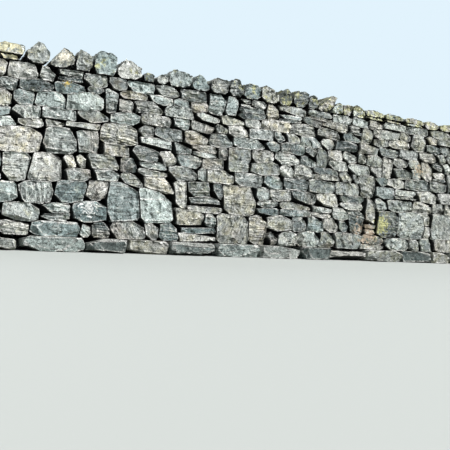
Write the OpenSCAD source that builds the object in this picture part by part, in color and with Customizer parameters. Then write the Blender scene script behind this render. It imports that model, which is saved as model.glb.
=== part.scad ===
/* [Wall] */
// Number of whole bays in the length of wall
bays = 6; // [3:1:8]
// Length of one bay
bay_length = 1000; // [900:50:1300]
// Width of the wall on its footing
base_width = 700; // [600:10:900]
// Width of the wall under the cope
top_width = 400; // [360:10:500]
// Width of the packed rubble core between the two faces
core_width = 110; // [80:10:140]
// Another number lays the same wall with other stones
layout = 7; // [1:1:40]

/* [Footing] */
// Height of the footing stones
footing_height = 120; // [80:10:200]
// Distance that the footing stands out from each face
footing_step = 50; // [10:10:100]
// Mean length of a footing stone
footing_length = 430; // [300:10:600]

/* [Courses] */
// Number of lifts; the beds are brought level between them
lifts = 3; // [2:1:4]
// Number of courses in a lift
lift_courses = 4; // [2:1:5]
// Height of the lowest course
lowest_course = 145; // [110:5:190]
// Height of the highest course
highest_course = 85; // [70:5:120]
// How far the other beds rise and fall
bed_wave = 18; // [0:2:30]
// Distance from one rise of a bed to the next
wave_length = 1900; // [1200:100:4000]

/* [Face stones] */
// Mean length of a face stone
stone_length = 250; // [200:10:360]
// Share of that length by which a stone is longer or shorter
length_spread = 0.5; // [0:0.05:0.5]
// Length of the shortest stone that is laid
least_length = 85; // [60:5:120]
// Least distance sideways from a joint to a joint in the course below
bond = 55; // [20:5:70]
// Width of the open joints within a course
joint_gap = 9; // [4:1:16]
// Share of the stones that stand through two courses
tall_share = 0.16; // [0:0.02:0.3]
// Share of the places that two thin stones fill
thin_share = 0.14; // [0:0.02:0.3]
// Greatest length taken off a corner of a stone
corner_loss = 50; // [0:5:60]
// How square the stones are; a low value takes more off their corners
squareness = 3; // [2:0.5:6]
// Greatest lean of a joint
joint_lean = 13; // [0:1:16]
// Greatest rise of a bed at the joints over it, and dip at those under it
bed_rise = 12; // [0:1:16]
// Greatest depth of a face behind the line of the wall
face_recess = 16; // [0:1:25]

/* [Through stones and ends] */
// Length along the wall of a through stone
through_length = 280; // [200:10:320]
// How far a through stone may lie from its place in the bay
through_shift = 90; // [0:10:100]
// Length along the wall of a tie, which crosses the wall at its end
tie_length = 290; // [220:10:300]
// Length along the wall of a runner, laid between two ties
runner_length = 440; // [360:10:480]
// Size taken off the corners of the squared stones
dressing = 12; // [4:1:25]

/* [Cope] */
// Length of a common cope stone
cope_length = 190; // [150:10:240]
// Height of a common cope stone
cope_height = 160; // [120:10:220]
// Greatest distance that a cope stone stands out from the wall top
cope_overhang = 20; // [0:5:40]
// Gap between two cope stones
cope_gap = 10; // [4:1:20]

/* [Hidden] */
// Clearance where a stone is seated on another
seat = 0.1;
// How far past its own place a stone may fill a space
reach = 30;
length = bays * bay_length;
courses = lifts * lift_courses;
body_top = bed_level(courses);
core_end = length / 2 - runner_length;

// Kinds of stone in a face
SINGLE = 0;
TALL = 1;
SQUARED = 2;
PAIR = 3;

// Joints chosen by hand at the left of the front, course by course: how far each is from the
// left end of the wall, in bays, and the kind of the stone before it
front_plan = [
    [[0.64, SINGLE], [0.89, SINGLE], [1.29, SINGLE], [1.38, SINGLE], [1.54, SINGLE]],
    [[0.67, SINGLE], [0.97, SINGLE], [1.21, PAIR], [1.51, SINGLE]],
    [[0.55, SINGLE], [0.79, SINGLE], [1.07, SINGLE], [1.33, SINGLE], [1.45, SINGLE]],
    [[0.66, SINGLE], [0.87, TALL], [1.13, TALL], [1.38, SINGLE]],
    [[1.24, SINGLE]],
    [[0.6, SINGLE], [0.96, TALL], [1.24, TALL], [1.43, TALL]],
    [[0.47, SINGLE]],
    [[0.59, SINGLE], [0.76, SINGLE], [0.97, SINGLE], [1.14, SINGLE], [1.42, SINGLE]],
    [[0.5, SINGLE], [0.71, SINGLE], [1.51, SINGLE]],
    [[0.72, SINGLE], [0.89, SINGLE], [1.14, SINGLE], [1.46, SINGLE]],
    [[0.52, SINGLE], [0.76, SINGLE], [1.04, SINGLE], [1.31, SINGLE], [1.52, PAIR]],
    [[0.67, SINGLE], [0.92, SINGLE], [1.06, SINGLE], [1.28, PAIR], [1.49, SINGLE]]
];

// How far the beds lie above or below their level at the left end, in heights of a course,
// and where along the wall that ends
settled = [0, -0.14, -0.08, 0.17, 0, 0, -0.2, -0.3, -0.6, -0.75, -0.4, -0.5];
settled_end = 2 * bay_length - length / 2;
settled_run = 0.45 * bay_length;
// How steeply these beds rise to the right, and between which places
settled_slope = 0.065;
rise_start = 0.5 * bay_length - length / 2;
rise_end = 1.5 * bay_length - length / 2;

// Cope stones from left to right, in common lengths and heights of such a stone: length,
// height at the left, at the peak and at the right, place of the peak as a share of the way
// from the left side to the right one, width of the crown as a share of the rest of that way,
// and lean of the joint to the right in degrees
cope_plan = [
    [1.1, 0.7, 1.05, 0.75, 0.3, 0.5, 4], [1.15, 0.9, 1.1, 0.6, 0.2, 0.4, -6],
    [0.7, 0.55, 0.95, 0.75, 0.4, 0.4, 5], [1.3, 0.65, 0.85, 0.8, 0.3, 0.7, -3],
    [0.95, 0.6, 1.15, 0.65, 0.45, 0.45, 6], [1.05, 0.3, 1.1, 0.75, 0.5, 0.45, 10],
    [0.85, 1, 1.12, 0.8, 0.1, 0.7, 4], [1.1, 0.95, 1.3, 1.05, 0.2, 0.8, 2],
    [1.25, 0.5, 1.1, 0.7, 0.3, 0.4, -4], [0.6, 0.45, 0.55, 0.4, 0.3, 0.5, 0],
    [0.6, 0.4, 0.55, 0.45, 0.4, 0.5, 3], [1.2, 0.7, 1, 0.75, 0.2, 0.5, 5],
    [1, 0.45, 0.95, 0.4, 0.35, 0.3, 0], [1, 0.7, 0.95, 0.8, 0.3, 0.6, 8],
    [0.85, 0.75, 1.15, 0.7, 0.4, 0.3, 6], [1.1, 0.55, 1, 0.8, 0.25, 0.7, -3],
    [1.05, 0.8, 1.05, 0.55, 0.2, 0.4, 4], [0.8, 0.6, 1.1, 0.75, 0.5, 0.4, 6],
    [0.95, 0.75, 1.1, 0.9, 0.3, 0.6, 8], [0.6, 0.8, 1, 0.6, 0.3, 0.5, 20],
    [0.9, 0.35, 1.15, 1, 0.7, 0.6, 28], [0.85, 0.5, 0.8, 0.6, 0.6, 0.5, 0],
    [0.65, 0.7, 0.75, 0.7, 0.4, 0.6, 2], [0.9, 0.6, 0.85, 0.5, 0.3, 0.4, 0],
    [1.45, 0.55, 0.7, 0.5, 0.2, 0.5, 2], [1.5, 0.5, 0.65, 0.45, 0.15, 0.7, -3],
    [1.55, 0.45, 0.6, 0.4, 0.25, 0.5, 2], [1.2, 0.45, 0.6, 0.4, 0.2, 0.7, 0],
    [1.1, 0.4, 0.55, 0.45, 0.3, 0.6, 4], [1, 0.5, 0.8, 0.55, 0.3, 0.5, 5]
];
// Length from which a cope stone is two slabs, one on the other, in common lengths
slab_share = 1.3;
// Height of the lower slab, as a share of the lowest side
lower_slab = 0.45;
// Height of a cope stone's waist, as a share of its side
waist = 0.35;
// How steeply a crown falls, as a share of the slope from the peak to the right side
crown_fall = 0.5;

// The stones of each face, course by course
front = rows(-1);
back = rows(1);

sides = [["front", -1], ["back", 1]];

function numbered(name, n) = str(name, n < 10 ? "_0" : "_", n);
function course_name(k, side) = str(numbered("course", k + 1), "_", side);
function through_name(j) = numbered("through_stones_row", j);
function cope_name(i) = numbered("cope_bay", i + 1);
function lift_name(j) = numbered("hearting_lift", j + 1);
function row_hearting_name(j) = numbered("hearting_beside_throughs", j);

function course_height(k) =
    lowest_course + (highest_course - lowest_course) * k / (courses - 1);

// Level of the bed under course k where the wall is level
function bed_level(k) = k <= 0 ? footing_height : bed_level(k - 1) + course_height(k - 1);

// Level of the bed under course k at x, with what it has settled and risen
function level(k, x) =
    let (
        share = max(0, min(1, (settled_end - x) / settled_run)),
        along = max(rise_start, min(rise_end, x)) - (rise_start + rise_end) / 2,
        rise = settled_slope * along * min(1, k / 2, (courses - k) / 2)
    )
    bed_level(k)
    + (k > 0 && k < min(courses, len(settled)) ? (settled[k] * course_height(k) + rise) * share : 0);

// Distance along bed k from x to the nearest squared stone under or over it
function to_squared(k, x) =
    let (stones = [for (row = [k - 1, k]) each concat(end_stones(row), through_stones(row))])
    min([for (s = stones) abs(x - s.x) - s[2] / 2]);

// Share of the wave that a bed has at x. It fades out towards squared stones, and the beds
// under and over through stones have none
function ease(k, x) =
    let (t = max(0, min(1, (to_squared(k, x) / stone_length - 0.5) / 2.5)))
    k > 1 && k % lift_courses <= 1 ? 0 : t * t * (3 - 2 * t);

// Level of a bed at x in one face. A bed part of the way up a course has a broken number
function bed(k, x, side) =
    let (low = floor(k), part = k - low)
    part > 0 ? (1 - part) * bed(low, x, side) + part * bed(low + 1, x, side) :
    level(k, x)
    + bed_wave * sin(180 * k / lift_courses) * ease(k, x)
        * sin(360 * x / wave_length + 50 * k + 130 * side);

// Half the width of the wall at a height, with the batter of its faces
function half_width(z) =
    (base_width - (base_width - top_width) * (z - footing_height) / (body_top - footing_height)) / 2;

// Parts of a stone, [x, z, length, height, kind, bed under it, bed over it]
function left(s) = s.x - s[2] / 2;
function right(s) = s.x + s[2] / 2;
function low(s) = s.y - s[3] / 2;
function high(s) = s.y + s[3] / 2;
function kind(s) = s[4];
function bed_under(s) = s[5];
function bed_over(s) = s[6];

function stone(x0, x1, k0, k1, side, kind) =
    let (x = (x0 + x1) / 2, z0 = bed(k0, x, side), z1 = bed(k1, x, side))
    [x, (z0 + z1) / 2, x1 - x0, z1 - z0, kind, k0, k1];

function squared_stone(x, k, long) =
    let (z0 = level(k, x), z1 = level(k + 1, x))
    [x, (z0 + z1) / 2, long, z1 - z0, SQUARED, k, k + 1];

function end_length(k) = k % 2 == 0 ? tie_length : runner_length;

// The two stones of course k that end the wall, ties and runners by turns
function end_stones(k) =
    [for (end = [-1, 1]) squared_stone(end * (length - end_length(k)) / 2, k, end_length(k))];

// Through stones lie on the level beds, mid bay in one row and between the bays in the next,
// each moved a little to one side or the other, with room for a stone before the end stones
function through_stones(k) =
    k <= 0 || k >= courses || k % lift_courses != 0 ? [] :
    let (
        first = (k / lift_courses) % 2 == 1 ? 0.5 : 1,
        furthest = (length - through_length) / 2 - end_length(k) - least_length
    )
    [
        for (i = [first : 1 : bays - 0.5])
            let (x = i * bay_length - length / 2 + through_shift * cos(140 * i + 45 * k + 220))
            squared_stone(max(-furthest, min(furthest, x)), k, through_length)
    ];

function sorted(list) =
    len(list) < 2 ? list :
    let (first = list[0])
    concat(
        sorted([for (s = list) if (s.x < first.x) s]),
        [first],
        sorted([for (s = list) if (s.x > first.x) s])
    );

// Next joint after x0, moved off any joint in the course below
function next_joint(x0, step, below) =
    let (
        x = x0 + step,
        near = [for (joint = below) if (abs(joint - x) < bond) joint]
    )
    len(near) == 0 ? x :
    x < near[0] && near[0] - bond - x0 > least_length ? near[0] - bond : near[0] + bond;

// Joints from x0 to x1, stone by stone
function joints(x0, x1, below, steps, i = 0) =
    let (x = next_joint(x0, steps[i], below))
    x1 - x < least_length ? [x1] : concat([x], joints(x, x1, below, steps, i + 1));

// Joints chosen by hand in course k, as [x, kind of the stone before it]
function chosen(k, side) =
    side > 0 || k >= len(front_plan) ? [] :
    [for (joint = front_plan[k]) [joint[0] * bay_length - length / 2, joint[1]]];

// Whether a stone from x0 to x1 can stand up beside the squared stones of course k
function clears_squared(x0, x1, k) =
    len([
        for (o = concat(end_stones(k), through_stones(k)))
            if (min(x1, right(o)) > max(x0, left(o))) o
    ]) == 0;

// Kind of the stone that ends at x1: the chosen one, or else one by chance
function kind_at(x0, x1, k, side, chance) =
    let (
        plan = chosen(k, side),
        own = [for (joint = plan) if (abs(joint.x - x1) < 1) joint.y],
        may_be_tall = k + 1 < courses && clears_squared(x0, x1, k + 1),
        tall_by_chance = (k + 1) % lift_courses != 0 && x1 - x0 < 1.5 * stone_length
    )
    len(own) > 0 ? (own[0] == TALL && !may_be_tall ? SINGLE : own[0]) :
    len(plan) > 0 && x1 < plan[len(plan) - 1].x ? SINGLE :
    chance < tall_share && may_be_tall && tall_by_chance ? TALL :
    chance > 1 - thin_share && x1 - x0 > 1.4 * least_length ? PAIR :
    SINGLE;

// Stones between two joints: one, a tall one, or two thin ones
function laid(x0, x1, k, side, kind) =
    let (middle = k + chance_at(x0, k, 0.4, 0.6))
    kind == TALL ? [stone(x0, x1, k, k + 2, side, TALL)] :
    kind == PAIR ?
        [stone(x0, x1, k, middle, side, SINGLE), stone(x0, x1, middle, k + 1, side, SINGLE)] :
    [stone(x0, x1, k, k + 1, side, SINGLE)];

function fill(x0, x1, k, side, below, number) =
    x1 - x0 < joint_gap ? [] :
    let (
        steps = [for (r = rands(-1, 1, 60, number)) stone_length * (1 + length_spread * r)],
        chances = rands(0, 1, 60, number + 1),
        clear = [
            for (joint = chosen(k, side))
                if (joint.x > x0 + least_length && joint.x < x1 - least_length) joint.x
        ],
        last = len(clear) == 0 ? x0 : clear[len(clear) - 1],
        ends = concat([x0], clear, joints(last, x1, below, steps))
    )
    [
        for (i = [1 : len(ends) - 1])
            each laid(
                ends[i - 1], ends[i], k, side,
                kind_at(ends[i - 1], ends[i], k, side, chances[i])
            )
    ];

// Start of the random numbers of a course in one face
function start_number(k, side) = 1000 * layout + 40 * k + 500 * (side + 1);

// Course k, laid between its squared stones and the tall stones that stand up from below
function course(k, side, under) =
    let (
        own = concat(end_stones(k), through_stones(k)),
        stops = sorted(concat(own, [for (s = under) if (kind(s) == TALL) s])),
        below = [for (s = under) each [left(s), right(s)]]
    )
    concat(own, [
        for (i = [1 : len(stops) - 1])
            each fill(
                right(stops[i - 1]), left(stops[i]), k, side, below,
                start_number(k, side) + 2 * i
            )
    ]);

function rows(side, k = 0, under = []) =
    k == courses ? [] :
    let (row = course(k, side, under)) concat([row], rows(side, k + 1, row));

// Part of a convex outline behind the line through point p, whose normal is n
function cut(outline, p, n) = [
    for (i = [0 : 1 : len(outline) - 1])
        let (
            a = outline[i],
            b = outline[(i + 1) % len(outline)],
            da = (a - p) * n,
            db = (b - p) * n
        )
        each concat(da <= 0 ? [a] : [], da * db < 0 ? [a + (b - a) * da / (da - db)] : [])
];

// A number from low to high that belongs to a place on bed or course k
function chance_at(x, k, low, high) =
    rands(low, high, 1, round(900 * x / stone_length + 70 * k) + layout)[0];

// Levels of the squared stones of course k that stone s lies on or under
function levels_met(s, k, under) =
    [
        for (o = concat(end_stones(k), through_stones(k)))
            if (overlap_in_x(s, o)) under ? high(o) : low(o)
    ];

// Line of the seat between the stone under bed k and the one over it, as [point, normal up].
// A bed dips at the joints below it and peaks at the joints above it, so each stone sits on
// all those under it. A stone that also meets a squared stone keeps to its level
function seat_line(under, over, side) =
    let (
        k = bed_over(under),
        x = [max(left(under), left(over)), min(right(under), right(over))],
        turn = [x[0] == left(under) ? -1 : 1, x[1] == right(under) ? -1 : 1],
        lids = k == floor(k) ? levels_met(under, k, false) : [],
        bases = k == floor(k) ? levels_met(over, k - 1, true) : [],
        z = [
            for (i = [0, 1])
                let (
                    rise = to_squared(k, x[i]) < joint_gap ? 0 :
                        turn[i] * bed_rise * chance_at(x[i], k, 0.4, 1)
                )
                min(concat(lids, max(concat(bases, bed(k, x[i], side) + rise))))
        ],
        d = [x[1] - x[0], z[1] - z[0]]
    )
    [[x[0], z[0]], [-d.y, d.x] / norm(d)];

// Line of the joint between two stones of a course, as [point, normal from s to o]
function joint_line(s, o) =
    let (
        x = o.x > s.x ? right(s) : left(s),
        z = (max(low(s), low(o)) + min(high(s), high(o))) / 2,
        lean = chance_at(x, bed_under(s) + bed_under(o), -joint_lean, joint_lean)
    )
    [[x, z], sign(o.x - s.x) * [cos(lean), sin(lean)]];

// Line that keeps two stones apart which only meet at a corner
function corner_line(s, o) =
    let (
        d = [o.x - s.x, o.y - s.y],
        span = [(s[2] + o[2]) / 2, (s[3] + o[3]) / 2],
        u = pow(abs(d.x) / span.x, squareness),
        v = pow(abs(d.y) / span.y, squareness),
        raw = [sign(d.x) * u / span.x, sign(d.y) * v / span.y],
        t = (u * s[2] / (s[2] + o[2]) + v * s[3] / (s[3] + o[3])) / (u + v)
    )
    [[s.x, s.y] + t * d, raw / norm(raw)];

// Side of a squared stone that faces s
function side_line(s, o) =
    let (d = [o.x - s.x, o.y - s.y])
    abs(d.x) / (s[2] + o[2]) > abs(d.y) / (s[3] + o[3])
        ? [[o.x - sign(d.x) * o[2] / 2, o.y], [sign(d.x), 0]]
        : [[o.x, o.y - sign(d.y) * o[3] / 2], [0, sign(d.y)]];

function overlap_in_x(s, o) = min(right(s), right(o)) - max(left(s), left(o)) > 1;
function meet_at_bed(s, o) = bed_over(s) == bed_under(o) || bed_over(o) == bed_under(s);
function share_height(s, o) = bed_over(s) > bed_under(o) && bed_over(o) > bed_under(s);

// Line that parts stone s from its neighbour o, moved back for the gap between them
function parting(s, o, side) =
    let (
        squared = kind(o) == SQUARED,
        line =
            squared ? side_line(s, o) :
            !overlap_in_x(s, o) ? (share_height(s, o) ? joint_line(s, o) : corner_line(s, o)) :
            o.y > s.y ? seat_line(s, o, side) :
            let (under = seat_line(o, s, side)) [under[0], -under[1]],
        gap = (seat + joint_gap * pow(line[1].x, 4)) * (squared ? 1 : 0.5)
    )
    [line[0] - gap * line[1], line[1]];

function trimmed(outline, s, others, side, i = 0) =
    i == len(others) || len(outline) < 3 ? outline :
    let (line = parting(s, others[i], side))
    trimmed(cut(outline, line[0], line[1]), s, others, side, i + 1);

// The outline of stone s with its corners broken off, one by one
function worn(outline, s, side, i = 0) =
    i == 4 || len(outline) < 3 ? outline :
    let (
        way = [i % 2 == 0 ? -1 : 1, i < 2 ? -1 : 1],
        k = way.y < 0 ? bed_under(s) : bed_over(s),
        x = s.x + way.x * s[2] / 2,
        loss = [
            min(0.3 * s[2], corner_loss * pow(chance_at(x + s.x, k, 0.3, 1), 2)),
            min(0.42 * s[3], corner_loss * chance_at(x - s.x, k + i, 0.1, 0.8))
        ],
        normal = [way.x * loss.y, way.y * loss.x]
    )
    loss.x * loss.y == 0 ? outline :
    worn(
        cut(outline, [x - way.x * loss.x, bed(k, x, side)], normal / norm(normal)),
        s, side, i + 1
    );

// Outline of stone s in its face, among all the stones of that face
function outline(s, face, side) =
    let (
        x0 = left(s) - reach / 3,
        x1 = right(s) + reach / 3,
        z0 = max(footing_height + seat, low(s) - reach),
        z1 = min(body_top, high(s) + reach),
        others = [
            for (row = face) for (o = row)
                if (o != s
                    && abs(o.x - s.x) < (o[2] + s[2]) / 2 + reach
                    && abs(o.y - s.y) < (o[3] + s[3]) / 2 + reach
                    && (kind(o) == SQUARED || meet_at_bed(s, o) || !overlap_in_x(s, o))) o
        ]
    )
    worn(trimmed([[x0, z0], [x1, z0], [x1, z1], [x0, z1]], s, others, side), s, side);

// A stone with this outline in x and z, between two distances from the middle of the wall
module block(outline, y0, y1) {
    translate([0, y1, 0])
        rotate([90, 0, 0])
            linear_extrude(y1 - y0)
                polygon(outline);
}

module on_side(outline, near, far, side) {
    block(outline, side > 0 ? near : -far, side > 0 ? far : -near);
}

// Outline of a squared stone, with a little off each corner
function squared_outline(s) =
    let (
        w = s[2] / 2,
        h = (s[3] - seat) / 2,
        c = [for (i = [0 : 7]) dressing * chance_at(s.x, s[5] + i, 0.4, 1.6)]
    )
    [for (p = [
        [-w, c[0] - h], [c[1] - w, -h], [w - c[2], -h], [w, c[3] - h],
        [w, h - c[4]], [w - c[5], h], [c[6] - w, h], [-w, h - c[7]]
    ]) [s.x + p.x, s.y + p.y]];

module face_course(k, side) {
    face = side < 0 ? front : back;
    recesses = rands(0, face_recess, len(face[k]), start_number(k, side));
    color(k < 3 ? "slategray" : "darkgray")
        for (i = [0 : len(face[k]) - 1])
            if (kind(face[k][i]) != SQUARED)
                on_side(
                    outline(face[k][i], face, side), core_width / 2 + seat,
                    half_width(face[k][i].y) - recesses[i], side
                );
}

// The first and last footing stones reach the full step, and the others vary
module footing(side) {
    count = round(length / footing_length);
    first = start_number(-1, side);
    leans = rands(-footing_height / 6, footing_height / 6, count + 1, first);
    shifts = rands(-footing_length / 6, footing_length / 6, count + 1, first + 1);
    backs = rands(0, footing_step / 3, count, first + 2);
    x = [
        for (i = [0 : count])
            i * length / count - length / 2 + (i == 0 || i == count ? 0 : shifts[i])
    ];
    lean = [for (i = [0 : count]) i == 0 || i == count ? 0 : leans[i]];
    gap = [for (i = [0 : count]) i == 0 || i == count ? 0 : joint_gap / 2];
    color("dimgray")
        for (i = [0 : count - 1])
            on_side(
                [
                    [x[i] + gap[i] + lean[i], 0],
                    [x[i + 1] - gap[i + 1] + lean[i + 1], 0],
                    [x[i + 1] - gap[i + 1], footing_height],
                    [x[i] + gap[i], footing_height]
                ],
                joint_gap / 2,
                base_width / 2 + footing_step - (i == 0 || i == count - 1 ? 0 : backs[i]),
                side
            );
}

module ties(end) {
    color("gainsboro")
        for (k = [0 : 2 : courses - 1])
            for (s = end_stones(k))
                if (s.x * end > 0)
                    block(squared_outline(s), -half_width(s.y), half_width(s.y));
}

module runners(end) {
    color("silver")
        for (k = [1 : 2 : courses - 1])
            for (s = end_stones(k))
                if (s.x * end > 0)
                    for (side = [-1, 1])
                        on_side(squared_outline(s), joint_gap / 2, half_width(s.y), side);
}

module throughs(j) {
    color("lightsteelblue")
        for (s = through_stones(j * lift_courses))
            block(squared_outline(s), -half_width(s.y), half_width(s.y));
}

// Points along the packed core on bed k, level where a through stone lies on it
function core_line(k, under) =
    let (
        bed = under ? k : k + 1,
        end = core_end - seat
    )
    concat(
        [[-end, level(bed, -end)]],
        [
            for (s = through_stones(k))
                for (x = [left(s) - seat, right(s) + seat])
                    [max(-end, min(end, x)), level(bed, s.x)]
        ],
        [[end, level(bed, end)]]
    );

// Where the core of course k ends: where all of it does, or at a through stone that lies there
function row_end(k, end) =
    max(concat([core_end], [for (s = through_stones(k)) end * s.x + s[2] / 2]));

// An outline without the points that repeat the one before them
function apart(outline) =
    let (n = len(outline))
    [for (i = [0 : n - 1]) if (norm(outline[i] - outline[(i + n - 1) % n]) > seat) outline[i]];

// The corners of an outline, without the points that lie on a straight line of it
function turning(outline) =
    let (n = len(outline))
    [
        for (i = [0 : n - 1])
            let (a = outline[(i + n - 1) % n], b = outline[i], c = outline[(i + 1) % n])
            if (abs((b.x - a.x) * (c.y - b.y) - (b.y - a.y) * (c.x - b.x)) > 1) b
    ];

// A piece of the packed core between an underside and a top
module packing(underside, top) {
    block(
        turning(apart(concat(
            [for (p = underside) p + [0, seat]],
            [for (i = [len(top) - 1 : -1 : 0]) top[i]]
        ))),
        -core_width / 2, core_width / 2
    );
}

module hearting_lift(j) {
    color("rosybrown")
        packing(
            core_line(j * lift_courses, j == 0),
            core_line((j + 1) * lift_courses, true)
        );
}

module hearting_beside_throughs(j) {
    k = j * lift_courses;
    underside = core_line(k, true);
    top = core_line(k, false);
    color("rosybrown")
        for (i = [0 : 2 : len(top) - 2])
            if (top[i + 1].x - top[i].x > joint_gap)
                packing([underside[i], underside[i + 1]], [top[i], top[i + 1]]);
}

module hearting_behind_ties() {
    color("rosybrown")
        for (k = [0 : 2 : courses - 1])
            for (end = [-1, 1]) {
                inner = end * row_end(k, end);
                outer = end * (length / 2 - tie_length);
                x0 = min(inner, outer) + seat;
                x1 = max(inner, outer) - seat;
                packing(
                    [for (x = [x0, x1]) [x, level(k, inner)]],
                    [for (x = [x0, x1]) [x, level(k + 1, inner)]]
                );
            }
}

// Joints of the cope, from the left end of the wall to the right
function cope_joints(x = 0, i = 0) =
    let (next = x + cope_length * cope_plan[i % len(cope_plan)][0])
    length - next < least_length ? [x, length] : concat([x], cope_joints(next, i + 1));

// Outline of a cope stone over x0 to x1: a foot, two sides that lean, a peak, and a crown
// that falls away from it. Its heights are at the left, the peak and the right
function cope_outline(x0, x1, z, heights, peak, crown, leans, feet) =
    let (
        slopes = [tan(leans[0]), tan(leans[1])],
        waists = [waist * heights[0], waist * heights[2]],
        left_side = x0 + heights[0] * slopes[0],
        right_side = x1 + heights[2] * slopes[1],
        top = left_side + peak * (right_side - left_side)
    )
    [
        [x0 + feet[0], z],
        [x1 - feet[1], z],
        [x1 + waists[1] * slopes[1], z + waists[1]],
        [right_side, z + heights[2]],
        [
            top + crown * (right_side - top),
            z + heights[1] + crown_fall * crown * (heights[2] - heights[1])
        ],
        [top, z + heights[1]],
        [left_side, z + heights[0]],
        [x0 + waists[0] * slopes[0], z + waists[0]]
    ];

module cope(bay) {
    edges = [for (x = cope_joints()) x - length / 2];
    last = len(edges) - 2;
    color("lightgray")
        for (i = [0 : last]) {
            plan = cope_plan[i % len(cope_plan)];
            leans = [i == 0 ? 0 : cope_plan[(i - 1) % len(cope_plan)][6], i == last ? 0 : plan[6]];
            x0 = edges[i] + (i == 0 ? 0 : cope_gap / 2);
            x1 = edges[i + 1] - (i == last ? 0 : cope_gap / 2);
            feet = (x1 - x0) * rands(0.05, 0.33, 2, start_number(courses, 0) + i);
            heights = [for (j = [1 : 3]) cope_height * plan[j]];
            faces = [
                for (out = rands(-0.5, 1, 2, start_number(courses, 1) + i))
                    top_width / 2 + cope_overhang * out
            ];
            if (floor(((x0 + x1) / 2 + length / 2) / bay_length) == bay) {
                if (plan[0] < slab_share)
                    block(
                        cope_outline(
                            x0, x1, body_top + seat, heights, plan[4], plan[5], leans, feet
                        ),
                        -faces[0], faces[1]
                    );
                else
                    slabs(x0, x1, heights, plan[4], plan[5], leans, feet, faces);
            }
        }
}

// A long, low cope stone is two slabs, one on the other
module slabs(x0, x1, heights, peak, crown, leans, feet, faces) {
    under = lower_slab * min(heights);
    drop = [0, under + seat];
    block(
        [
            [x0 + feet[0], body_top + seat], [x1 - feet[1] / 2, body_top + seat],
            [x1 - feet[1], body_top + under], [x0 + feet[0] / 2, body_top + under]
        ],
        -faces[1], faces[0]
    );
    block(
        [
            for (p = cope_outline(
                x0, x1, body_top + seat, heights - [under, under, under], peak, crown, leans,
                feet / 2
            )) p + drop
        ],
        -faces[0], faces[1]
    );
}

footing(-1);  // footing_front
footing(1);  // footing_back
for (k = [0 : courses - 1]) for (side = sides)
    face_course(k, side[1]);
ties(-1);  // ties_left
ties(1);  // ties_right
runners(-1);  // runners_left
runners(1);  // runners_right
for (j = [1 : lifts - 1])
    throughs(j);
for (j = [0 : lifts - 1])
    hearting_lift(j);
for (j = [1 : lifts - 1])
    hearting_beside_throughs(j);
hearting_behind_ties();
for (i = [0 : bays - 1])
    cope(i);
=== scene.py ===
import math

import bmesh
import bpy
import numpy
from mathutils import Matrix, Vector


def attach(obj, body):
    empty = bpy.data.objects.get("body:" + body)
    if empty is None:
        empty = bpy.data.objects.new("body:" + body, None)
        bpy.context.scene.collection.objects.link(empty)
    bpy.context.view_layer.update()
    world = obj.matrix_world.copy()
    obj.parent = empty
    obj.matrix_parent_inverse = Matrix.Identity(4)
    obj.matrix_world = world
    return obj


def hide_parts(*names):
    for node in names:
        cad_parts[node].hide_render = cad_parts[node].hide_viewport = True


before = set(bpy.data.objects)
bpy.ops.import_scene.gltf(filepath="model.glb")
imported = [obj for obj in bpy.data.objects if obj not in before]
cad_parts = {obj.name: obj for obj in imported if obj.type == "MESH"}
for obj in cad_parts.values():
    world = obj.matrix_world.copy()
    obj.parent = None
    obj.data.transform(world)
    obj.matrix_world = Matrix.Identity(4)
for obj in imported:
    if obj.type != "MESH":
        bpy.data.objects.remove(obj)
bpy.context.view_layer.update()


# Footing stones
#
# The widest stones of the wall, bedded in two rows in a shallow trench, one row under each
# face. They are rough blocks of pale limestone and of darker slaty rock, and they stand out a
# little as a step, where damp and moss have stained them.

to_front, to_back, to_left, to_right, to_top = (0, -1, 0), (0, 1, 0), (-1, 0, 0), (1, 0, 0), (0, 0, 1)
sides = {"front": to_front, "back": to_back}


def planes_of(points, triangles):
    """The planes round a convex stone, as unit normals and their distances from the origin."""
    parallel, level, nothing = 0.9995, 4e-4, 1e-9
    a, b, c = (points[triangles[:, i]] for i in range(3))
    cross = numpy.cross(b - a, c - a)
    area = numpy.linalg.norm(cross, axis=1)
    normals, reaches = [], []
    for i in numpy.argsort(-area):
        if area[i] < nothing:
            continue
        normal = cross[i] / area[i]
        reach = normal @ a[i]
        same = [
            n @ normal > parallel and abs(r - reach) < level for n, r in zip(normals, reaches)
        ]
        if not any(same):
            normals.append(normal)
            reaches.append(reach)
    return numpy.array(normals), numpy.array(reaches)


def stones_of(node):
    """The stones of a node from left to right, each as its corners, normals and reaches.
    Corners that fall on the same hundredth of a millimetre are one."""
    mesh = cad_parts[node].data
    mesh.calc_loop_triangles()
    points = numpy.empty(3 * len(mesh.vertices))
    mesh.vertices.foreach_get("co", points)
    triangles = numpy.empty(3 * len(mesh.loop_triangles), dtype=int)
    mesh.loop_triangles.foreach_get("vertices", triangles)
    grid = numpy.round(points.reshape(-1, 3) * 1e5).astype(int)
    grid, merged = numpy.unique(grid, axis=0, return_inverse=True)
    triangles = merged.reshape(-1)[triangles].reshape(-1, 3)
    points = grid * 1e-5
    label = numpy.arange(len(points))
    while True:
        spread = label.copy()
        numpy.minimum.at(spread, triangles.reshape(-1), label[triangles].min(axis=1).repeat(3))
        if (spread == label).all():
            break
        label = spread
    stones = []
    for own in numpy.unique(label):
        corners = points[label == own]
        stones.append((corners, *planes_of(points, triangles[label[triangles[:, 0]] == own])))
    return sorted(stones, key=lambda stone: tuple(stone[0].mean(axis=0)))


def steps(low, high, cell):
    """Places between low and high that part a stone into lengths of about one cell."""
    count = max(1, round((high - low) / cell))
    return [low + (high - low) * i / count for i in range(1, count)]


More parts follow.
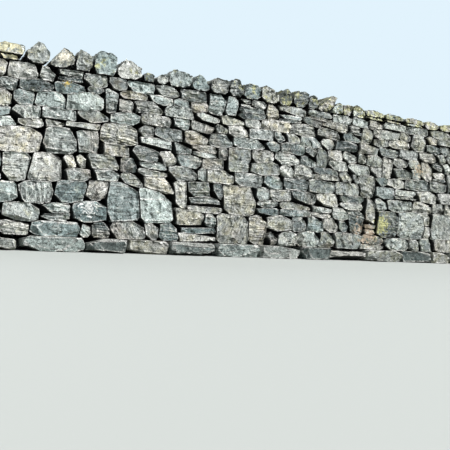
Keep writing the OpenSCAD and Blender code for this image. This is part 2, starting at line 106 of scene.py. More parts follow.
def hewn(stone, normals, reaches, shown, cell):
    """A stone cut from its box along its planes, and into faces of about one cell where it
    shows. shown lists the ways that its open sides look."""
    least_edge = 0.002
    # How deep the cuts lie that follow an open face, closer together near it
    layers = (0.006, 0.016, 0.032, 0.06, 0.11)
    low, high = stone[0].min(axis=0), stone[0].max(axis=0)
    block = bmesh.new()
    bmesh.ops.create_cube(block, size=1)
    for corner in block.verts:
        corner.co = [h if c > 0 else l for c, l, h in zip(corner.co, low, high)]
    for normal, reach in zip(normals, reaches):
        whole = block.verts[:] + block.edges[:] + block.faces[:]
        bmesh.ops.bisect_plane(
            block, geom=whole, dist=1e-5, plane_co=normal * reach, plane_no=normal,
            clear_outer=True,
        )
        rim = [edge for edge in block.edges if len(edge.link_faces) == 1]
        if rim:
            bmesh.ops.edgeloop_fill(block, edges=rim)
    bmesh.ops.remove_doubles(block, verts=block.verts, dist=least_edge)
    open_end_or_top = any(way[0] or way[2] for way in shown)
    depths = []
    if to_front in shown:
        depths += [low[1] + layer for layer in layers]
    if to_back in shown:
        depths += [high[1] - layer for layer in layers]
    if open_end_or_top:
        depths = steps(low[1], high[1], 1.6 * cell)
    whole = block.verts[:] + block.edges[:] + block.faces[:]
    for y in depths:
        whole = bmesh.ops.bisect_plane(
            block, geom=whole, dist=1e-4, plane_co=(0, y, 0), plane_no=(0, 1, 0)
        )["geom"]
    near = set()
    for face in block.faces:
        y = face.calc_center_bounds().y
        front = to_front in shown and y < low[1] + layers[-1]
        back = to_back in shown and y > high[1] - layers[-1]
        if front or back or open_end_or_top:
            near.add(face)
            near.update(face.edges)
            near.update(face.verts)
    near = list(near)
    for axis in (0, 2):
        across = [0, 0, 0]
        across[axis] = 1
        for place in steps(low[axis], high[axis], cell):
            at = [0, 0, 0]
            at[axis] = place
            near = bmesh.ops.bisect_plane(
                block, geom=near, dist=1e-4, plane_co=at, plane_no=across
            )["geom"]
    bmesh.ops.remove_doubles(block, verts=block.verts, dist=least_edge)
    bmesh.ops.triangulate(block, faces=block.faces)
    bmesh.ops.recalc_face_normals(block, faces=block.faces)
    block.verts.index_update()
    points = numpy.array([corner.co for corner in block.verts])
    faces = [[corner.index for corner in face.verts] for face in block.faces]
    block.free()
    return points, faces


def tilted(face, across, angle, tilt):
    """The way face looks once it tilts towards an angle in its plane, and that angle's way."""
    side = numpy.zeros(3)
    side[across] = math.cos(angle), math.sin(angle)
    return face * math.cos(tilt) + side * math.sin(tilt), side


def broken_faces(stone, shown, chance, rough, corner):
    """A stone's planes with those of the breaks added on its open sides: a face that leans a
    little, larger breaks above and below, small chips round it and, where corner isn't 0,
    the corners knocked off. rough is how deep they all go, and corner is the deepest that a
    corner goes. No break takes more than deepest_share of the way to the stone's middle."""
    break_depth, lean_depth, chip_depth, arris_depth = 0.04, 0.03, 0.01, 0.014
    full_size = 0.12
    deepest_share = 0.6
    corners, normals, reaches = stone
    low, high = corners.min(axis=0), corners.max(axis=0)
    normals, reaches = list(normals), list(reaches)
    for face in shown:
        face = numpy.array(face, dtype=float)
        across = [axis for axis in range(3) if not face[axis]]
        span = (high - low)[across]
        out = (corners @ face).max()
        middle = (low + high) / 2
        middle = middle + face * (out - middle @ face)
        for i in range(chance.integers(1, 3)):
            lean = numpy.zeros(3)
            most = numpy.minimum(0.2, rough * lean_depth / span)
            lean[across] = chance.uniform(-1, 1, 2) * most
            normal = face + lean
            normal /= numpy.linalg.norm(normal)
            normals.append(normal)
            reaches.append(normal @ middle + chance.uniform(0, 0.004))
        for i in range(chance.integers(0, 2) if face[2] else chance.integers(2, 5)):
            angle = (-0.5, 0.5)[i % 2] * math.pi + chance.normal(0, 0.5)
            tilt = math.radians(chance.uniform(12, 42))
            normal, side = tilted(face, across, angle, tilt)
            half = abs(side[across]) @ span / 2
            share = min(chance.uniform(0.1, 0.9), break_depth * rough / (half * math.tan(tilt)))
            normals.append(normal)
            reaches.append(normal @ (middle + side * half * (1 - share)))
        scale = min(1.0, span.min() / full_size) * rough
        cuts = [
            (chance.uniform(0, 2 * math.pi), chance.uniform(35, 80),
             scale * chip_depth * chance.random() ** 1.5)
            for i in range(chance.integers(3, 7) if corner else 1)
        ]
        cuts += [
            (way * math.pi / 2 + chance.normal(0, 0.15), chance.uniform(30, 60),
             scale * chance.uniform(0.001, arris_depth))
            for way in (-1, 1)
        ]
        turn = math.atan2(span[1], span[0])
        if corner and not face[2]:
            cuts += [
                (way * math.pi / 2 + chance.uniform(-0.3, 0.3) + (turn if way % 2 == 0 else -turn),
                 chance.uniform(70, 86), scale * corner * chance.random() ** 1.6)
                for way in range(4)
            ]
        for angle, tilt, bite in cuts:
            normal, side = tilted(face, across, angle, math.radians(tilt))
            normals.append(normal)
            reaches.append((corners @ normal).max() - bite)
    normals, reaches = numpy.array(normals), numpy.array(reaches)
    inmost = normals @ corners.mean(axis=0)
    given = len(stone[2])
    least = inmost + (1 - deepest_share) * ((corners @ normals.T).max(axis=0) - inmost)
    reaches[given:] = numpy.maximum(reaches, least)[given:]
    return normals, reaches


def nearness(points, normals, reaches, width):
    """How near each point of a stone is to an arris: 1 on it, and 0 from width on. Planes
    that meet at less than the blunt sine make no arris."""
    blunt = 0.2
    slack = reaches - points @ normals.T
    own = slack.argmin(axis=1)
    cosines = (normals @ normals.T)[own]
    sines = numpy.sqrt(numpy.maximum(0, 1 - cosines ** 2))
    away = numpy.where(sines > blunt, slack / numpy.maximum(sines, blunt), 1.0)
    return 1 - numpy.clip(away.min(axis=1) / width, 0, 1)


def bedding(chance):
    """The way across the beds of a stone: mostly upright, sometimes tilted or on edge."""
    laid_flat, laid_tilted = 0.72, 0.15
    kind = chance.random()
    if kind < laid_flat:
        normal = Vector((chance.normal(0, 0.12), chance.normal(0, 0.12), 1))
    elif kind < laid_flat + laid_tilted:
        normal = Vector((chance.choice([-1, 1]) * chance.uniform(0.4, 1.2), 0.1, 1))
    else:
        normal = Vector((1, chance.normal(0, 0.2), chance.normal(0, 0.25)))
    return normal.normalized()


def rubble(node, shown, cell, seed, rough=1.0, corner=0.045, chosen=(), open_tops=False):
    """A mesh of a node's stones, broken where they show. shown lists the ways that their open
    sides look, and cell is about how long the small faces there are. rough and corner are
    those of broken_faces. chosen lists stones that stand out, each by a place in it, as x and
    z, with how light it is, how deep its ridges are, and the way across its beds. open_tops
    is for stones whose tops lie in the open without being broken."""
    outward, upward = 0.35, 0.7
    chance = numpy.random.default_rng(seed)
    points, faces, looks, grains, depths, rims = [], [], [], [], [], []
    start = 0
    for stone in stones_of(node):
        corners = stone[0]
        low, high = corners.min(axis=0), corners.max(axis=0)
        normals, reaches = broken_faces(stone, shown, chance, rough, corner)
        own, own_faces = hewn(stone, normals, reaches, shown, cell)
        rim = nearness(own, normals, reaches, cell)
        look = chance.random(3)
        grain = bedding(chance)
        for x, z, light, ridges, way in chosen:
            if low[0] < x < high[0] and low[2] < z < high[2]:
                look[:2] = light, ridges
                grain = Vector(way).normalized()
        points.append(own)
        rims.append(rim)
        faces += [[start + i for i in face] for face in own_faces]
        start += len(own)
        looks.append(numpy.tile(look, (len(own), 1)))
        grains.append(numpy.tile(grain, (len(own), 1)))
        outer = (normals @ numpy.array(shown, dtype=float).T > outward).any(axis=1)
        if open_tops:
            outer |= normals[:, 2] > upward
        depths.append((reaches[outer] - own @ normals[outer].T).min(axis=1).clip(0))
    mesh = bpy.data.meshes.new(node + "_rubble")
    mesh.from_pydata(numpy.vstack(points).tolist(), [], faces)
    mesh.shade_smooth()
    for name, kind, key, values in (
        ("look", "FLOAT_VECTOR", "vector", numpy.vstack(looks)),
        ("grain", "FLOAT_VECTOR", "vector", numpy.vstack(grains)),
        ("depth", "FLOAT", "value", numpy.concatenate(depths)),
        ("rim", "FLOAT", "value", numpy.concatenate(rims)),
    ):
        attribute = mesh.attributes.new(name, kind, "POINT")
        attribute.data.foreach_set(key, values.astype(numpy.float32).reshape(-1))
    return mesh


class Value:
    """A socket of a node tree that can be reckoned with as a number."""

    def __init__(self, tree, socket):
        self.tree = tree
        self.socket = socket

    def sum(self, operation, *others):
        inputs = dict(enumerate(others))
        return self.tree.node("ShaderNodeMath", {"operation": operation}, inputs)

    def __add__(self, other):
        return self.sum("ADD", self, other)

    def __radd__(self, other):
        return self.sum("ADD", other, self)

    def __sub__(self, other):
        return self.sum("SUBTRACT", self, other)

    def __rsub__(self, other):
        return self.sum("SUBTRACT", other, self)

    def __mul__(self, other):
        return self.sum("MULTIPLY", self, other)

    def __rmul__(self, other):
        return self.sum("MULTIPLY", other, self)

    def __truediv__(self, other):
        return self.sum("DIVIDE", self, other)

    def __rtruediv__(self, other):
        return self.sum("DIVIDE", other, self)

    def __abs__(self):
        return self.sum("ABSOLUTE", self)


class Tree:
    """A node tree in which each node is made by one call."""

    def __init__(self, tree):
        self.tree = tree

    def node(self, kind, settings, inputs, output=0):
        """Makes a node of a kind, with its settings and then its sockets' values or links."""
        made = self.tree.nodes.new(kind)
        for name, value in settings.items():
            if name == "stops":
                stops = made.color_ramp.elements
                stops.remove(stops[-1])
                for share, colour in value[1:]:
                    stops.new(share)
                for stop, (share, colour) in zip(stops, value):
                    stop.position = share
                    stop.color = colour
            else:
                setattr(made, name, value)
        for name, value in inputs.items():
            if isinstance(value, Value):
                self.tree.links.new(value.socket, made.inputs[name])
            else:
                made.inputs[name].default_value = value
        if len(made.outputs):
            return Value(self, made.outputs[output])

    def between(self, value, low, high):
        """0 below low, 1 above high, and smooth between them."""
        limits = {"Value": value, "From Min": low, "From Max": high}
        return self.node("ShaderNodeMapRange", {"interpolation_type": "SMOOTHSTEP"}, limits)

    def vectors(self, operation, *inputs, output=0):
        settings = {"operation": operation}
        return self.node("ShaderNodeVectorMath", settings, dict(enumerate(inputs)), output)

    def part(self, vector, number):
        """One of the three numbers of a vector."""
        return self.node("ShaderNodeSeparateXYZ", {}, {"Vector": vector}, number)

    def scaled(self, vector, by):
        inputs = {"Vector": vector, "Scale": by}
        return self.node("ShaderNodeVectorMath", {"operation": "SCALE"}, inputs)

    def noise(self, place, scale, detail, rough=0.6, output=0):
        inputs = {"Vector": place, "Scale": scale, "Detail": detail, "Roughness": rough}
        return self.node("ShaderNodeTexNoise", {}, inputs, output)

    def facets(self, place, scale):
        """Height of a broken surface: flat facets, each with a tilt and a level of its own."""
        inputs = {"Vector": place, "Scale": scale, "Randomness": 1.0}
        tilt = self.node("ShaderNodeTexVoronoi", {}, inputs, "Color")
        middle = self.node("ShaderNodeTexVoronoi", {}, inputs, "Position")
        away = self.vectors("SUBTRACT", place, middle)
        lean = self.vectors("SUBTRACT", tilt, (0.5, 0.5, 0.5))
        return self.vectors("DOT_PRODUCT", away, lean, output=1) * scale + self.part(tilt, 0) * 0.5

    def mix(self, share, first, second, blend="MIX"):
        settings = {"data_type": "RGBA", "blend_type": blend}
        return self.node("ShaderNodeMix", settings, {0: share, 6: first, 7: second}, 2)


# How far apart the stones lie in the patterns, so that no two look alike
apart = (9.0, 9.0, 9.0)


def weathering_tree():
    """Wears a stone's surface inwards: broad hollows, broken chips, and ridges along its beds.
    All of it fades towards the seating depth, and sides that look along the wall or up get
    the side share of it."""
    group = bpy.data.node_groups.new("weathering", "GeometryNodeTree")
    interface = group.interface
    interface.new_socket("Geometry", in_out="INPUT", socket_type="NodeSocketGeometry")
    for name, value in (
        ("Hollow depth", 0.006), ("Hollow size", 0.12),
        ("Chip depth", 0.014), ("Chip size", 0.06),
        ("Ridge depth", 0.006), ("Ridge spacing", 0.02),
        ("Seating depth", 0.09), ("Side share", 0.2),
    ):
        socket = interface.new_socket(name, in_out="INPUT", socket_type="NodeSocketFloat")
        socket.default_value = value
    interface.new_socket("Material", in_out="INPUT", socket_type="NodeSocketMaterial")
    interface.new_socket("Geometry", in_out="OUTPUT", socket_type="NodeSocketGeometry")
    tree = Tree(group)

    def given(name):
        return tree.node("NodeGroupInput", {}, {}, name)

    def stored(name, kind):
        return tree.node("GeometryNodeInputNamedAttribute", {"data_type": kind}, {"Name": name})

    place = tree.node("GeometryNodeInputPosition", {}, {})
    normal = tree.node("GeometryNodeInputNormal", {}, {})
    look = stored("look", "FLOAT_VECTOR")
    own = tree.vectors("MULTIPLY_ADD", look, apart, place)
    rise = tree.vectors("DOT_PRODUCT", own, stored("grain", "FLOAT_VECTOR"), output=1)
    bent = tree.noise(own, 7.0, 1.0)
    hollow = tree.between(tree.noise(own, 1.0 / given("Hollow size"), 1.0), 0.3, 0.7)
    chip = tree.between(tree.facets(own, 1.0 / given("Chip size")), -0.2, 0.7)
    beds = tree.node(
        "ShaderNodeTexNoise", {"noise_dimensions": "1D"},
        {"W": (rise + bent * 0.03) / given("Ridge spacing"), "Scale": 1.0, "Detail": 1.0},
    )
    ridge = tree.between(beds, 0.46, 0.53) * tree.between(tree.part(look, 1), 0.1, 0.9)
    worn = (
        hollow * given("Hollow depth") + chip * given("Chip depth") + ridge * given("Ridge depth")
    )
    outward = abs(tree.part(normal, 1))
    worn = worn * (given("Side share") + (1.0 - given("Side share")) * outward)
    worn = worn * (1.0 - tree.between(stored("depth", "FLOAT"), 0.03, given("Seating depth")))
    moved = tree.node(
        "GeometryNodeSetPosition", {},
        {"Geometry": given("Geometry"), "Offset": tree.scaled(normal, worn * -1.0)},
    )
    # The wear is kept for the colours, where about 17 mm of it counts as 1
    kept = tree.node(
        "GeometryNodeStoreNamedAttribute", {"data_type": "FLOAT", "domain": "POINT"},
        {"Geometry": moved, "Name": "worn", "Value": worn * 60.0},
    )
    real = tree.node("GeometryNodeRealizeInstances", {}, {"Geometry": kept})
    done = tree.node(
        "GeometryNodeSetMaterial", {}, {"Geometry": real, "Material": given("Material")}
    )
    tree.node("NodeGroupOutput", {}, {"Geometry": done})
    return group


weathering = weathering_tree()


def set_in_wall(mesh, name, material, slot, node, **sizes):
    """Sets the finished piece, the mesh weathered, in place of its node in the frame. sizes
    are inputs of the weathering that differ from what they are elsewhere."""
    sharpest_round = math.radians(24)
    laid = bpy.data.objects.new(name, mesh)
    bpy.context.scene.collection.objects.link(laid)
    modifier = laid.modifiers.new("weathering", "NODES")
    modifier.node_group = weathering
    sockets = {item.name: item.identifier for item in weathering.interface.items_tree}
    modifier[sockets["Material"]] = material
    for size, value in sizes.items():
        modifier[sockets[size.replace("_", " ").capitalize()]] = value
    bpy.context.view_layer.update()
    evaluated = laid.evaluated_get(bpy.context.evaluated_depsgraph_get())
    finished = bpy.data.meshes.new_from_object(evaluated)
    finished.set_sharp_from_angle(angle=sharpest_round)
    laid.modifiers.clear()
    laid.data = finished
    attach(laid, "root")
    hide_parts(node)


def paint(red, green, blue):
    """A colour as it looks, from 0 to 255, in the numbers that a shader takes."""
    shares = [value / 255 for value in (red, green, blue)]
    plain = [s / 12.92 if s <= 0.04045 else ((s + 0.055) / 1.055) ** 2.4 for s in shares]
    return (*plain, 1.0)


def stone_finish(name, tones, crust=0.5, moss=0.0, rust=0.0, lichen=0.0, spots=()):
    """Weathered stone. tones are the colours that stones have, as share and colour; the rest
    is how much it has of a pale crust, of moss near its foot, of rust and of lichen, and the
    spots of lichen or rust that stand out, each with its place, its size and its colour."""
    cool, warm = (0.81, 0.945, 0.965, 1.0), (1.0, 0.94, 0.76, 1.0)
    crust_white, top_highlight_white = paint(240, 240, 234), paint(226, 224, 212)
    arris_highlight_white, lip_white = paint(250, 249, 244), paint(244, 245, 240)
    speck_white = paint(252, 252, 247)
    damp_and_shade_green, moss_green, rust_brown = paint(88, 92, 70), paint(78, 82, 60), paint(176, 142, 112)
    old_lichen, young_lichen = paint(172, 174, 108), paint(242, 240, 186)
    material = bpy.data.materials.new(name)
    material.use_nodes = True
    material.node_tree.nodes.clear()
    tree = Tree(material.node_tree)

    def stored(attribute, output):
        return tree.node("ShaderNodeAttribute", {"attribute_name": attribute}, {}, output)

    # Where a point lies in its own stone's patterns, across its beds and along them
    place = tree.node("ShaderNodeTexCoord", {}, {}, "Object")
    along_wall = tree.part(place, 0)
    up = tree.part(tree.node("ShaderNodeNewGeometry", {}, {}, "Normal"), 2)
    look = stored("look", "Vector")
    grain = stored("grain", "Vector")
    worn = stored("worn", "Fac")
    first, second, third = (tree.part(look, number) for number in range(3))
    own = tree.vectors("MULTIPLY_ADD", look, apart, place)
    rise = tree.vectors("DOT_PRODUCT", own, grain, output=1)
    along = tree.vectors("ADD", own, tree.scaled(grain, rise * 7.0))
    bend = tree.noise(own, 30.0, 2.0, output="Color")
    bent = tree.vectors("MULTIPLY_ADD", bend, (0.02, 0.02, 0.02), own)

    # The patterns, from broad to fine
    broad = tree.noise(own, 8.0, 3.0)
    middle = tree.noise(own, 26.0, 6.0, 0.7)
    grit = tree.noise(own, 95.0, 2.0, 0.8)
    flecks = tree.between(tree.noise(own, 52.0, 2.0, 0.7), 0.42, 0.58)
    beds = tree.noise(along, 4.5, 2.0, 0.4) - 0.5
    broken = tree.facets(bent, 17.0)
    coarse = 0.15 + 0.85 * third * third

    # The rock itself, cool or warm by stone and by patch, and a little cooler on faces that turn
    # down, as painted shade
    stops = [(share, paint(*colour)) for share, colour in tones]
    colour = tree.node("ShaderNodeValToRGB", {"stops": stops}, {0: first})
    hue = tree.node("ShaderNodeMath", {"operation": "FRACT"}, {0: first * 17.3 + third * 7.1})
    cooler = tree.between(broad * 0.3 + hue * 0.5 - up * 0.05 - along_wall * 0.04, 0.3, 0.75)
    colour = tree.mix(cooler, colour, cool, "MULTIPLY")
    warmer = tree.between(tree.noise(own, 15.0, 3.0) * 0.7 - hue * 0.25, 0.24, 0.44)
    colour = tree.mix(warmer, colour, warm, "MULTIPLY")

    # What weather has whitened: the crust, the grit and the ridges' lips; and painted highlight on
    # the tops and on the upper arrises
    pale = tree.between(middle + up * 0.1 + second * 0.08 - worn * 0.16, 0.52, 0.58)
    colour = tree.mix(pale * crust * (0.2 + 0.6 * coarse), colour, crust_white)
    # Painted highlight: faces that turn up are lightened towards pale cream
    colour = tree.mix(tree.between(up, 0.25, 0.85) * 0.3, colour, top_highlight_white)
    # Painted highlight: a white rim along the arrises, strongest on the upper ones
    rim = tree.between(stored("rim", "Fac") + middle * 0.5, 0.6, 0.85)
    rim = rim * tree.between(up, -0.3, 0.4) * (0.6 + 0.4 * first)
    colour = tree.mix(rim, colour, arris_highlight_white)
    specks = (1.0 - tree.between(grit, 0.34, 0.42)) * coarse
    colour = tree.mix(specks * 0.85, colour, speck_white)
    lip = tree.between(beds, 0.01, 0.018) * (1.0 - tree.between(beds, 0.025, 0.04))
    colour = tree.mix(lip * (0.15 + 0.6 * second), colour, lip_white)

    # Painted shade, partly a damp stain too: faces that turn down darken towards olive. Then what
    # growth has stained
    colour = tree.mix(tree.between(up * -1.0, 0.25, 0.9) * 0.6, colour, damp_and_shade_green)
    if moss:
        low = 1.0 - tree.between(tree.part(place, 2) + broad * 0.1, 0.08, 0.3)
        colour = tree.mix(low * moss, colour, moss_green)
    if rust:
        stain = tree.between(tree.noise(place, 3.0, 3.0) + third * 0.1, 0.6, 0.72)
        colour = tree.mix(stain * rust, colour, rust_brown)
    if lichen:
        right = tree.between(along_wall, -0.5, 1.5) * 0.1
        patch = tree.between(tree.noise(place, 13.0, 6.0, 0.7) + up * 0.05 + right, 0.56, 0.64)
        colour = tree.mix(patch * lichen, colour, tree.mix(broad, old_lichen, young_lichen))

    # What lies dark: cracks and ledges along the beds and pits, which are the rock's own, the worn
    # hollows, which are darkened, and painted shade deep in the joints
    crack = 1.0 - tree.between(abs(tree.noise(along, 3.2, 4.0) - 0.5), 0.003, 0.012)
    crack = crack * tree.between(broad, 0.42, 0.5)
    ledge = (1.0 - tree.between(abs(beds), 0.004, 0.014)) * tree.between(middle, 0.4, 0.5)
    ledge = ledge * (0.05 + 0.9 * second * second * second)
    pit = tree.between(grit, 0.56, 0.6) * (0.35 + 0.65 * coarse)
    # Painted shade: the colour darkens to near black from 3 mm to 25 mm behind the open face
    open_air = 1.0 - 0.95 * tree.between(stored("depth", "Fac"), 0.003, 0.025)
    shade = (1.0 - 0.75 * ledge) * (1.0 - 0.75 * pit) * (1.0 - 0.85 * crack)
    shade = shade * (0.7 + 0.6 * broken) * (0.05 + 1.8 * tree.between(grit, 0.22, 0.72))
    shade = shade * (0.83 + 0.36 * flecks)
    # Darker in the worn hollows
    shade = shade * (1.0 - 0.3 * tree.between(worn, 0.25, 0.9)) * open_air
    dark = tree.node("ShaderNodeCombineColor", {}, {0: shade, 1: shade, 2: shade})
    colour = tree.mix(1.0, colour, dark, "MULTIPLY")
    for x, y, z, size, tint in spots:
        away = tree.vectors("DISTANCE", place, (x, y, z), output=1)
        blot = tree.between(tree.noise(place, 4.0 / size, 4.0) - away / size * 0.2, 0.365, 0.385)
        colour = tree.mix(blot * open_air * 0.85, colour, paint(*tint))

    relief = (
        middle * (0.15 + 0.2 * coarse) + broken * 0.8 + grit * 0.1
        - ledge * 0.16 - pit * 0.12 - crack * 0.25
    )
    bump = tree.node(
        "ShaderNodeBump", {}, {"Strength": 1.0, "Distance": 0.05, "Height": relief}
    )
    shader = tree.node(
        "ShaderNodeBsdfPrincipled", {},
        {
            "Base Color": colour, "Roughness": 0.8 + 0.15 * middle,
            "Specular IOR Level": 0.25, "Normal": bump,
        },
    )
    tree.node("ShaderNodeOutputMaterial", {}, {"Surface": shader})
    return material


# The greys of the rock, from the few dark slaty stones to the many pale ones
grey_tones = (
    (0.0, (104, 114, 115)), (0.08, (138, 148, 148)), (0.25, (172, 180, 178)),
    (0.6, (200, 204, 200)), (1.0, (232, 231, 224)),
)
footing_rock = stone_finish("soil-stained footing rock", grey_tones, crust=0.4, moss=0.3)

for number, (side, face) in enumerate(sides.items()):
    node = "footing_" + side
    laid = rubble(
        node, [face, to_left, to_right], cell=0.02, seed=11 + number, rough=1.3, open_tops=True
    )
    set_in_wall(laid, node + "_rocks", footing_rock, "footing_stone", node)


# Ties and runners
#
# The squared stones that end the wall, roughly dressed with a walling hammer. A tie crosses the
# whole wall, and two runners lie lengthwise on it, so that each end holds itself up.

end_tones = (
    (0.0, (110, 120, 118)), (0.3, (154, 163, 158)), (0.8, (196, 200, 192)), (1.0, (216, 216, 206)),
)
end_rock = stone_finish("hammer-dressed end stone", end_tones, crust=0.4)

for number, (end, way) in enumerate((("left", to_left), ("right", to_right))):
    for kind, cell, seed in (("ties_", 0.017, 21), ("runners_", 0.019, 31)):
        node = kind + end
        laid = rubble(node, [to_front, to_back, way], cell, seed + number, rough=0.7)
        set_in_wall(laid, node + "_dressed", end_rock, "end_stone", node)


# Through stones
#
# Long stones laid across the wall on its two level beds, to tie the faces together. They are
# left as long as they were found or split, and only their two ends show.

through_rock = stone_finish("split through stone", grey_tones, crust=0.5)

for row in (1, 2):
    node = "through_stones_row_%02d" % row
    laid = rubble(node, [to_front, to_back], cell=0.013, seed=41 + row, rough=0.9)
    set_in_wall(laid, node + "_ends", through_rock, "through_stone", node)


# Face stones
#
# The stones of the two faces, picked for fit and laid dry, course by course, each with its
# length into the wall and its best side out. Weather has rounded and whitened them outside,
# and their tops and upper arrises carry a painted highlight.

face_rock = stone_finish(
    "weathered face rock", grey_tones, crust=0.65, moss=0.15, rust=0.2, lichen=0.12,
    spots=(
        (-1.86, -0.22, 1.38, 0.04, (206, 176, 60)), (-1.65, -0.32, 0.37, 0.075, (246, 247, 244)),
        (1.3, -0.32, 0.3, 0.16, (194, 176, 154)), (1.5, -0.32, 0.38, 0.12, (190, 190, 134)),
        (2.05, -0.26, 1.02, 0.08, (204, 184, 152)),
    ),
)

# Stones that stand out at the left of the front, by the course that they are laid in
level_beds, tilted_beds, upright_beds = (0, 0, 1), (0.6, 0, 1), (1, 0, 0.1)
# The darkest of them, low in courses 1 to 4 at x from -1.9 to -1.6, are partly painted shadow besides
# their own dark tone
picked = {
    1: [(-2.23, 0.19, 0.75, 1.0, level_beds), (-1.91, 0.19, 0.2, 0.2, level_beds)],
    2: [
        (-2.18, 0.33, 0.45, 0.3, tilted_beds), (-1.91, 0.36, 0.85, 1.0, level_beds),
        (-1.91, 0.29, 0.35, 1.0, level_beds), (-1.64, 0.34, 0.08, 0.3, level_beds),
    ],
    3: [
        (-2.33, 0.46, 0.75, 0.3, tilted_beds), (-2.07, 0.46, 0.85, 1.0, upright_beds),
        (-1.8, 0.46, 0.15, 0.5, level_beds),
    ],
    4: [
        (-2.26, 0.67, 0.85, 0.7, level_beds), (-2.0, 0.67, 0.85, 0.15, tilted_beds),
        (-1.74, 0.62, 0.3, 0.3, tilted_beds),
    ],
    6: [
        (-2.2, 0.93, 0.97, 0.2, level_beds), (-1.9, 0.93, 0.65, 0.8, level_beds),
        (-1.66, 0.96, 0.5, 0.6, upright_beds),
    ],
    8: [(-2.32, 1.03, 0.9, 0.5, level_beds), (-2.14, 1.03, 0.9, 0.7, level_beds)],
    10: [(-1.98, 1.24, 0.8, 0.3, level_beds), (-1.7, 1.26, 0.95, 0.1, level_beds)],
    11: [(-1.82, 1.36, 0.22, 0.05, level_beds), (-2.36, 1.33, 0.3, 0.8, tilted_beds)],
}

# The front is cut finer than the back, which is seen from further away
cells = {"front": 0.011, "back": 0.016}

for course in range(1, 13):
    for number, (side, face) in enumerate(sides.items()):
        node = "course_%02d_%s" % (course, side)
        laid = rubble(
            node, [face], cells[side], seed=100 + 2 * course + number,
            chosen=picked.get(course, ()) if side == "front" else (),
        )
        set_in_wall(laid, node + "_rubble", face_rock, "face_stone", node)


# Hearting
#
# Small broken stone, the waste of the face stones, packed by hand between the faces as the
# courses rise. It shows only deep in the open joints, and it is painted near black there, as
# painted shade.

# Painted shade: the rubble's tones are near black, far darker than the same rock in the faces
packing_shade_tones = ((0.0, (44, 46, 42)), (1.0, (60, 62, 56)))
packing_rock = stone_finish("packed rubble", packing_shade_tones, crust=0.1)

for name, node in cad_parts.items():
    if name.startswith("hearting"):
        node.data.materials.clear()
        node.data.materials.append(packing_rock)


# Cope stones
#
# Rough stones set across the wall top, most of them on edge and leaning on each other, and
# some of them flat slabs. Rain has bleached them, and lichen grows on their tops. Their tops
# and upper arrises also carry a painted highlight.

cope_rock = stone_finish(
    "bleached cope rock", grey_tones, crust=0.5, lichen=0.75,
    spots=[(-2.36, -0.2, 1.62, 0.16, (226, 220, 186)), (-1.88, -0.2, 1.6, 0.07, (232, 226, 208))],
)

# Cope stones that stand out at the left
picked_cope = [
    (-2.31, 1.6, 0.98, 0.2, level_beds), (-2.1, 1.56, 0.33, 0.2, tilted_beds),
    (-1.9, 1.56, 0.5, 0.8, (-1, 0, 1)), (-1.73, 1.56, 0.35, 0.3, tilted_beds),
    (-1.55, 1.56, 0.38, 0.1, level_beds),
]
# The low slabs at the right, bleached more than the others
picked_cope += [(0.8 + 0.1 * i, 1.53, 0.9, 0.6, level_beds) for i in range(23)]

for bay in range(1, 7):
    node = "cope_bay_%02d" % bay
    laid = rubble(
        node, [to_front, to_back, to_top], cell=0.014, seed=60 + bay, rough=0.15, corner=0,
        chosen=picked_cope,
    )
    set_in_wall(
        laid, node + "_rocks", cope_rock, "cope_stone", node,
        seating_depth=9.0, side_share=0.8, chip_depth=0.016, chip_size=0.045,
        hollow_depth=0.004,
    )


# Floor, light and camera
#
# A plain pale floor in a pale room, a soft lamp high at the right in front and a weak one
# behind, and the camera where the wall was seen from: low, near its left end, looking right.

far = 60
corners = [(-far, -far, 0), (far, -far, 0), (far, far, 0), (-far, far, 0)]
floor_mesh = bpy.data.meshes.new("floor")
floor_mesh.from_pydata(corners, [], [(0, 1, 2, 3)])
floor = bpy.data.objects.new("floor", floor_mesh)
bpy.context.scene.collection.objects.link(floor)
plaster = bpy.data.materials.new("pale plaster")
plaster.use_nodes = True
plaster_shader = plaster.node_tree.nodes["Principled BSDF"]
plaster_shader.inputs["Base Color"].default_value = paint(180, 184, 180)
plaster_shader.inputs["Roughness"].default_value = 0.9
floor.data.materials.append(plaster)

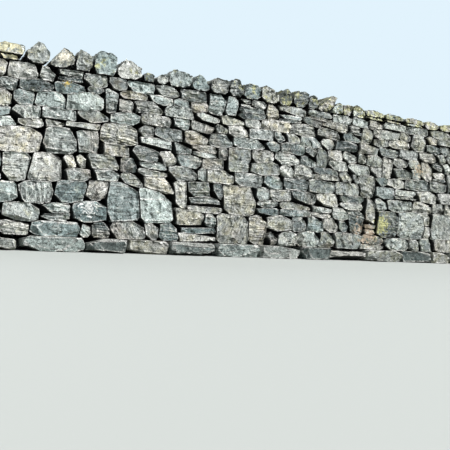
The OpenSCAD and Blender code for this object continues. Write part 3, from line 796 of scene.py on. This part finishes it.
world = bpy.data.worlds.new("pale room")
bpy.context.scene.world = world
world.use_nodes = True
world.node_tree.nodes.clear()
room = Tree(world.node_tree)
seen = room.node("ShaderNodeLightPath", {}, {}, "Is Camera Ray")
lit = room.node("ShaderNodeBackground", {}, {"Color": (0.82, 0.92, 1.0, 1.0), "Strength": 0.26})
backdrop = room.node("ShaderNodeBackground", {}, {"Color": paint(226, 243, 253), "Strength": 1.0})
for ray in ("Is Glossy Ray", "Is Transmission Ray"):
    seen = seen + room.node("ShaderNodeLightPath", {}, {}, ray)
both = room.node("ShaderNodeMixShader", {}, {0: seen, 1: lit, 2: backdrop})
room.node("ShaderNodeOutputWorld", {}, {"Surface": both})

# Each lamp's strength, how many degrees wide it looks, and the way its light goes
for name, energy, spread, way in (
    ("soft lamp", 6.1, 2, (-0.66, 0.55, -0.6)), ("lamp behind", 1.7, 80, (0.45, -0.85, -0.25))
):
    lamp = bpy.data.objects.new(name, bpy.data.lights.new(name, "SUN"))
    lamp.data.energy = energy
    lamp.data.angle = math.radians(spread)
    lamp.data.color = (1.0, 0.985, 0.98)
    lamp.rotation_mode = "QUATERNION"
    lamp.rotation_quaternion = Vector(way).to_track_quat("-Z", "Y")
    bpy.context.scene.collection.objects.link(lamp)

camera = bpy.data.objects.new("camera", bpy.data.cameras.new("camera"))
camera.data.lens = 48.84
camera.data.sensor_width = 36
camera.location = (-2.957, -5.31, 0.35)
turn, pitch, roll = math.radians(27.34), math.radians(-0.6), math.radians(3.62)
ahead = Vector((
    math.sin(turn) * math.cos(pitch), math.cos(turn) * math.cos(pitch), math.sin(pitch)
))
right = Vector((math.cos(turn), -math.sin(turn), 0))
above = right.cross(ahead)
rolled_right = math.cos(roll) * right + math.sin(roll) * above
rolled_above = math.cos(roll) * above - math.sin(roll) * right
turned = Matrix((rolled_right, rolled_above, -ahead)).transposed()
camera.rotation_mode = "QUATERNION"
camera.rotation_quaternion = turned.to_quaternion()
bpy.context.scene.collection.objects.link(camera)
bpy.context.scene.camera = camera
bpy.context.scene.view_settings.view_transform = "Standard"
